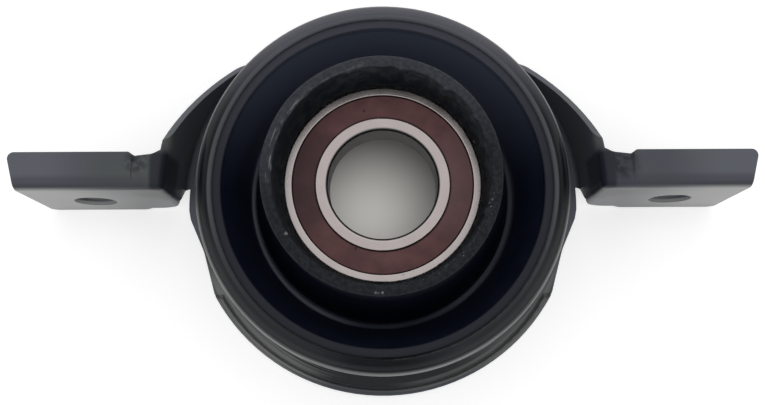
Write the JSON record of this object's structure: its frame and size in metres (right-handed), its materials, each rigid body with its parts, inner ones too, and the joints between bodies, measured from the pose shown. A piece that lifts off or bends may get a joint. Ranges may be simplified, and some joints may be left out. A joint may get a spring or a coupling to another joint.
{
  "type": "driveshaft centre support bearing",
  "caption": "Rubber-cushioned centre bearing for a two-piece driveshaft, in a pressed steel bracket with two bolt wings.",
  "frame": {"origin": "centre of the bearing on the shaft's axis", "axes": "+Z along the shaft's axis out of the front, the side where the rubber collar stands proud; +X along the two bolt wings; +Y towards the side that the wing skirts stand up on"},
  "size_m": [0.2078, 0.1196, 0.0515],
  "materials": {
    "black_steel": "satin black paint on pressed steel",
    "cushion_rubber": "moulded black rubber, slightly glossy",
    "plain_steel": "plain pressed steel",
    "bearing_steel": "ground bearing steel",
    "seal_rubber": "brown-red moulded seal rubber",
    "cage_steel": "pressed steel strip"
  },
  "bodies": {
    "support": {"bracket": "black_steel", "housing_ring": "black_steel", "rubber_cushion": "cushion_rubber", "bearing_sleeve": "plain_steel", "outer_race": "bearing_steel", "front_seal": "seal_rubber", "rear_seal": "seal_rubber", "front_seal_plate": "plain_steel", "rear_seal_plate": "plain_steel"},
    "shaft_race": {"inner_race": "bearing_steel"},
    "cage": {"cage_front": "cage_steel", "cage_rear": "cage_steel", "cage_rivets": "cage_steel"},
    "ball_01_body": {"ball_01": "bearing_steel"},
    "ball_02_body": {"ball_02": "bearing_steel"},
    "ball_03_body": {"ball_03": "bearing_steel"},
    "ball_04_body": {"ball_04": "bearing_steel"},
    "ball_05_body": {"ball_05": "bearing_steel"},
    "ball_06_body": {"ball_06": "bearing_steel"},
    "ball_07_body": {"ball_07": "bearing_steel"},
    "ball_08_body": {"ball_08": "bearing_steel"},
    "ball_09_body": {"ball_09": "bearing_steel"},
    "ball_10_body": {"ball_10": "bearing_steel"},
    "ball_11_body": {"ball_11": "bearing_steel"}
  },
  "joints": [
    {"name": "shaft_turn", "type": "hinge", "parent": "support", "child": "shaft_race", "pos_m": [0, 0, 0], "axis": [0, 0, 1], "continuous": true},
    {"name": "cage_turn", "type": "hinge", "parent": "support", "child": "cage", "pos_m": [0, 0, 0], "axis": [0, 0, 1], "continuous": true},
    {"name": "ball_01_roll", "type": "hinge", "parent": "cage", "child": "ball_01_body", "pos_m": [0.02125, 0, 0], "axis": [0, 0, 1], "continuous": true},
    {"name": "ball_02_roll", "type": "hinge", "parent": "cage", "child": "ball_02_body", "pos_m": [0.01788, 0.01149, 0], "axis": [0, 0, 1], "continuous": true},
    {"name": "ball_03_roll", "type": "hinge", "parent": "cage", "child": "ball_03_body", "pos_m": [0.00883, 0.01933, 0], "axis": [0, 0, 1], "continuous": true},
    {"name": "ball_04_roll", "type": "hinge", "parent": "cage", "child": "ball_04_body", "pos_m": [-0.00302, 0.02103, 0], "axis": [0, 0, 1], "continuous": true},
    {"name": "ball_05_roll", "type": "hinge", "parent": "cage", "child": "ball_05_body", "pos_m": [-0.01392, 0.01606, 0], "axis": [0, 0, 1], "continuous": true},
    {"name": "ball_06_roll", "type": "hinge", "parent": "cage", "child": "ball_06_body", "pos_m": [-0.02039, 0.00599, 0], "axis": [0, 0, 1], "continuous": true},
    {"name": "ball_07_roll", "type": "hinge", "parent": "cage", "child": "ball_07_body", "pos_m": [-0.02039, -0.00599, 0], "axis": [0, 0, 1], "continuous": true},
    {"name": "ball_08_roll", "type": "hinge", "parent": "cage", "child": "ball_08_body", "pos_m": [-0.01392, -0.01606, 0], "axis": [0, 0, 1], "continuous": true},
    {"name": "ball_09_roll", "type": "hinge", "parent": "cage", "child": "ball_09_body", "pos_m": [-0.00302, -0.02103, 0], "axis": [0, 0, 1], "continuous": true},
    {"name": "ball_10_roll", "type": "hinge", "parent": "cage", "child": "ball_10_body", "pos_m": [0.00883, -0.01933, 0], "axis": [0, 0, 1], "continuous": true},
    {"name": "ball_11_roll", "type": "hinge", "parent": "cage", "child": "ball_11_body", "pos_m": [0.01788, -0.01149, 0], "axis": [0, 0, 1], "continuous": true}
  ],
  "couplings": [
    {"joint": "cage_turn", "follows": "shaft_turn", "ratio": 0.41595},
    {"joint": "ball_01_roll", "follows": "shaft_turn", "ratio": -2.8905},
    {"joint": "ball_02_roll", "follows": "shaft_turn", "ratio": -2.8905},
    {"joint": "ball_03_roll", "follows": "shaft_turn", "ratio": -2.8905},
    {"joint": "ball_04_roll", "follows": "shaft_turn", "ratio": -2.8905},
    {"joint": "ball_05_roll", "follows": "shaft_turn", "ratio": -2.8905},
    {"joint": "ball_06_roll", "follows": "shaft_turn", "ratio": -2.8905},
    {"joint": "ball_07_roll", "follows": "shaft_turn", "ratio": -2.8905},
    {"joint": "ball_08_roll", "follows": "shaft_turn", "ratio": -2.8905},
    {"joint": "ball_09_roll", "follows": "shaft_turn", "ratio": -2.8905},
    {"joint": "ball_10_roll", "follows": "shaft_turn", "ratio": -2.8905},
    {"joint": "ball_11_roll", "follows": "shaft_turn", "ratio": -2.8905}
  ]
}
